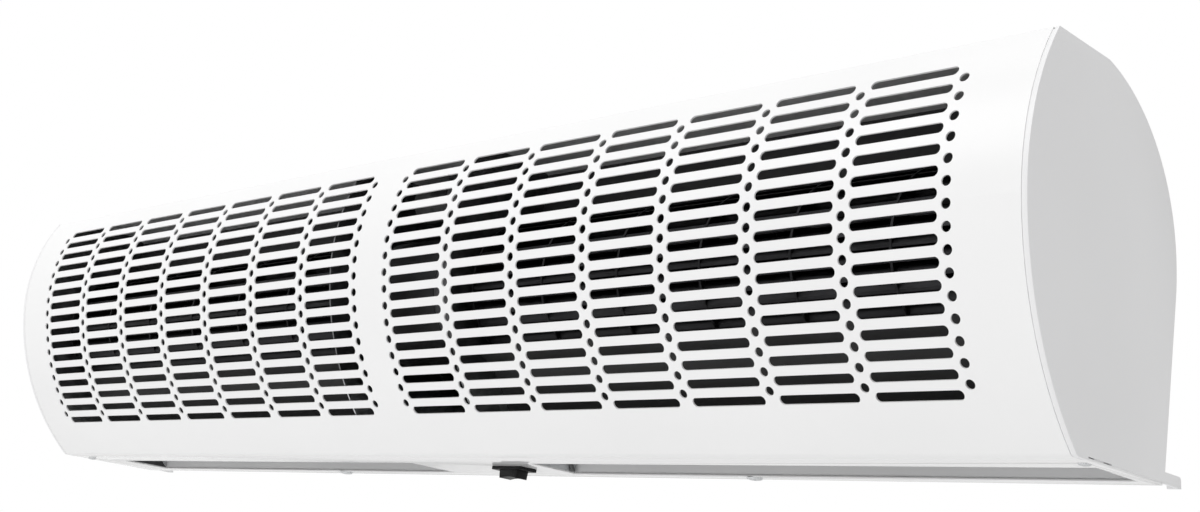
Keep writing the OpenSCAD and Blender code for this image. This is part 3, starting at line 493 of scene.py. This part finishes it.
# Ends along the body, outlines in depth and height, and widths, all in the body's millimetres
LEFT_OUTLET = (-455, -47)
RIGHT_OUTLET = (79, 492)
SHADE_STRIP_OUTLINE = ((135.4, 1.4), (138.9, 1.4), (130.7, 14.0), (127.2, 14.0))
SHADE_STRIP_THICK = 2
SHADE_STRIP_EDGE = 0.5
SHEET_OUTLINE = ((98.5, 1.4), (139.0, 1.4), (129.0, 12.0), (124.0, 34.0), (84.0, 34.0))
SHEET_THICK = 1.5
SHEET_EDGE = 0.4


def add_corner_shade_strips():
    """Dark strips in the corners of three outlet ends, which paint the shade there; the fourth end has the dark
    sheet.
    """
    shape = bmesh.new()
    for start in (LEFT_OUTLET[1] - SHADE_STRIP_THICK, RIGHT_OUTLET[0], RIGHT_OUTLET[1] - SHADE_STRIP_THICK):
        prism(shape, SHADE_STRIP_OUTLINE, start, start + SHADE_STRIP_THICK)
    round_edges(shape, SHADE_STRIP_EDGE)
    add_piece("outlet_corner_shade_strips", shape, "housing", "black_rubber")


def add_end_shade_sheet():
    """Black sheet on the left bulkhead, at the end of the left outlet, which paints the shade there."""
    shape = bmesh.new()
    prism(shape, SHEET_OUTLINE, LEFT_OUTLET[0], LEFT_OUTLET[0] + SHEET_THICK)
    round_edges(shape, SHEET_EDGE)
    add_piece("outlet_end_shade_sheet", shape, "housing", "black_rubber")


# ---------- screws ----------

# Sizes are in millimetres, and each screw's recess is turned so many degrees from the last
LATHE_STEPS = 32
LATHE_WELD = 0.0001
DOME_STEPS = 8
TIP_LENGTH = 1
TURN_BETWEEN = 37

# The recess: length and width of its two bars as shares of the head's radius, the share of them
# that is left at its floor, and the heights of its floor and of the cutter's top in heads
RECESS_BAR = (1.05, 0.24)
RECESS_TAPER = 0.6
RECESS_FLOOR = 0.5
CUTTER_TOP = 2

# Radius and height of the head, radius and length of the shank, way out of the head, and the
# places of the heads' seats on the body
SHELL_SCREWS_ALONG = (-488.5, -450, -52, 84, 488.5)
SCREWS = {
    "cover_screws": ((3.8, 2.1, 2, 8), UP, [(along, 27, 201) for along in range(-480, 481, 160)]),
    "shell_screws": ((3.8, 2.2, 2, 8), BACK,
                     [(along, 151, height) for along in SHELL_SCREWS_ALONG for height in (30, 80)]),
    "tray_screws": ((5, 1.8, 2, 7), -UP, [(-187, 144, 0), (235, 144, 0)]),
    "corner_screws": ((3.2, 1, 1.5, 5), -UP, [(-491.5, 86, 0), (491.5, 86, 0)]),
}


def lathe(profile):
    """Turns a profile of radii and heights once round the upright axis."""
    shape = bmesh.new()
    verts = [shape.verts.new((radius, 0, height)) for radius, height in profile]
    edges = [shape.edges.new(pair) for pair in zip(verts, verts[1:])]
    bmesh.ops.spin(shape, geom=verts + edges, cent=(0, 0, 0), axis=(0, 0, 1), angle=math.tau,
                   steps=LATHE_STEPS, use_merge=True)
    bmesh.ops.remove_doubles(shape, verts=shape.verts, dist=LATHE_WELD)
    bmesh.ops.recalc_face_normals(shape, faces=shape.faces)
    return shape


def cross_cutter(head_radius, head_height):
    """Two crossed bars that narrow towards the floor of the recess."""
    shape = bmesh.new()
    for length, width in (RECESS_BAR, RECESS_BAR[::-1]):
        for vert in bmesh.ops.create_cube(shape, size=1)["verts"]:
            taper, level = (1, CUTTER_TOP) if vert.co.z > 0 else (RECESS_TAPER, RECESS_FLOOR)
            vert.co = (vert.co.x * length * head_radius * taper, vert.co.y * width * head_radius * taper,
                       head_height * level)
    return shape


def to_object(shape):
    """A scratch object, because solids are cut as objects."""
    mesh = bpy.data.meshes.new("scratch")
    shape.to_mesh(mesh)
    shape.free()
    scratch = bpy.data.objects.new("scratch", mesh)
    bpy.context.scene.collection.objects.link(scratch)
    return scratch


def screw_mesh(head_radius, head_height, shank_radius, shank_length):
    """A screw with a domed head and a cross recess, its seat at the origin, in millimetres."""
    rim = head_height / 3
    rise = head_height - rim
    angles = [step * math.pi / (2 * DOME_STEPS) for step in range(DOME_STEPS + 1)]
    dome = [(head_radius * math.sin(angle), rim + rise * math.cos(angle)) for angle in angles]
    shank = [(shank_radius, 0), (shank_radius, TIP_LENGTH - shank_length), (0, -shank_length)]
    screw = to_object(lathe(dome + [(head_radius, 0)] + shank))
    cutter = to_object(cross_cutter(head_radius, head_height))
    cut = screw.modifiers.new("recess", "BOOLEAN")
    cut.operation = "DIFFERENCE"
    cut.object = cutter
    cut.solver = "EXACT"
    cut.use_self = True
    depsgraph = bpy.context.evaluated_depsgraph_get()
    made = bpy.data.meshes.new_from_object(screw.evaluated_get(depsgraph))
    bpy.data.objects.remove(screw)
    bpy.data.objects.remove(cutter)
    return made


def add_screws(name, sizes, out, places, *replaced):
    """One piece with a screw at each place, in place of the frame's node if there is one."""
    template = screw_mesh(*sizes)
    shape = bmesh.new()
    for count, place in enumerate(places):
        side = Matrix.Rotation(math.radians(TURN_BETWEEN * count), 3, out) @ ALONG
        axes = Matrix((side, out.cross(side), out)).transposed().to_4x4()
        copy = template.copy()
        copy.transform(Matrix.Translation(at(*place)) @ axes @ Matrix.Scale(MM, 4))
        shape.from_mesh(copy)
    add_piece(name, shape, "housing", "screw_zinc", *replaced)


def add_all_screws():
    for name, (sizes, out, places) in SCREWS.items():
        replaced = [name] if name in BODY_OF else []
        add_screws(name + "_cross", sizes, out, places, *replaced)


# ---------- wiring ----------

# Route of each sleeve, its radius and the height of its ribs, in the body's millimetres
SLEEVES = (
    (((-465, 95, 156), (-465, 112, 156), (16, 112, 156), (36.5, 128, 122),
      (44.5, 128, 60), (44.5, 115, 36), (44.5, 115, 26)), 2.5, 0.45),
    (((10, 97.5, 139.5), (10, 112, 156)), 1.6, 0.35),
)
SLEEVE_SIDES = 12
# A route is rounded from this many millimetres before each corner to as many after it
CORNER_SIZE = 7
CORNER_STEPS = 6
# Distance from rib to rib, in millimetres
RIB_PITCH = 2.4
# How far each ring from one rib to the next stands proud, as a share of the rib's height
RIB_SHAPE = (1, 0.5, 0, 0.5)


def rounded_route(points):
    """The route with its corners rounded, divided evenly into one point for each ring."""
    points = [Vector(point) for point in points]
    path = [points[0]]
    for before, corner, after in zip(points, points[1:], points[2:]):
        enter = corner + (before - corner).normalized() * CORNER_SIZE
        leave = corner + (after - corner).normalized() * CORNER_SIZE
        for step in range(CORNER_STEPS + 1):
            share = step / CORNER_STEPS
            path.append(enter * (1 - share) ** 2 + corner * 2 * share * (1 - share) + leave * share ** 2)
    path.append(points[-1])
    pace = RIB_PITCH / len(RIB_SHAPE)
    even = [path[0]]
    carry = 0.0
    for start, end in zip(path, path[1:]):
        length = (end - start).length
        travel = pace - carry
        while travel <= length:
            even.append(start.lerp(end, travel / length))
            travel += pace
        carry = length - (travel - pace)
    return even


def sleeve(shape, route, radius, rib):
    """A ribbed sleeve along a route, closed at both ends."""
    path = rounded_route(route)
    across = (path[1] - path[0]).orthogonal().normalized()
    angles = [math.tau * side / SLEEVE_SIDES for side in range(SLEEVE_SIDES)]
    rings = []
    for count, point in enumerate(path):
        ahead = (path[min(count + 1, len(path) - 1)] - path[max(count - 1, 0)]).normalized()
        across = (across - ahead * across.dot(ahead)).normalized()
        beside = ahead.cross(across)
        reach = radius + rib * RIB_SHAPE[count % len(RIB_SHAPE)]
        ring = [point + reach * (math.cos(angle) * across + math.sin(angle) * beside) for angle in angles]
        rings.append([shape.verts.new(at(*place)) for place in ring])
    for ring, following in zip(rings, rings[1:]):
        for side in range(SLEEVE_SIDES):
            shape.faces.new((ring[side - 1], ring[side], following[side], following[side - 1]))
    shape.faces.new(rings[0][::-1])
    shape.faces.new(rings[-1])


def add_loom():
    shape = bmesh.new()
    for route, radius, rib in SLEEVES:
        sleeve(shape, route, radius, rib)
    bmesh.ops.recalc_face_normals(shape, faces=shape.faces)
    add_piece("wiring_loom_ribbed", shape, "housing", "loom_sleeve", "wiring_loom")


# ---------- the scene ----------

make_camera()
make_studio()
finish_nodes()
for soft_node, edge_width in SOFT_EDGES.items():
    soften(soft_node, edge_width)
add_corner_shade_strips()
add_end_shade_sheet()
add_all_screws()
add_loom()
